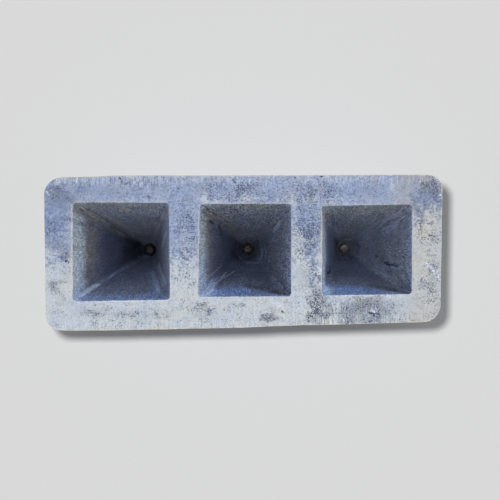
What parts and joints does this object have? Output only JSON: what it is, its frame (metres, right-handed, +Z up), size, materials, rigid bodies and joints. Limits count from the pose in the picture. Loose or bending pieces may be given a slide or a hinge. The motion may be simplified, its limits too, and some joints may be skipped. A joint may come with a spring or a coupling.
{
  "type": "sinker mould",
  "caption": "Open-top cast block for pouring pyramid fishing sinkers: tapered square cavities in a row, each with a loose steel eye pin standing in its drilled neck.",
  "frame": {"origin": "middle of the bounding box at the base plane, on the surface that the mould stands on", "axes": "+X along the row of cavities, from the largest to the smallest; +Y across the row, towards the straight long side; +Z up, out of the cavities' mouths"},
  "size_m": [0.131, 0.0514, 0.058],
  "materials": {
    "cast_aluminium": "as-cast sides, linished top face, cavity walls darkened by lead and heat",
    "pin_steel": "turned steel, dull and pitted at the tip"
  },
  "bodies": {
    "block": {"mould_block": "cast_aluminium"},
    "left_pin": {"left_eye_pin": "pin_steel"},
    "middle_pin": {"middle_eye_pin": "pin_steel"},
    "right_pin": {"right_eye_pin": "pin_steel"}
  },
  "joints": [
    {"name": "left_pin_lift", "type": "slide", "parent": "block", "child": "left_pin", "axis": [0, 0, 1], "range_m": [0, 0.064]},
    {"name": "middle_pin_lift", "type": "slide", "parent": "block", "child": "middle_pin", "axis": [0, 0, 1], "range_m": [0, 0.064]},
    {"name": "right_pin_lift", "type": "slide", "parent": "block", "child": "right_pin", "axis": [0, 0, 1], "range_m": [0, 0.064]}
  ]
}
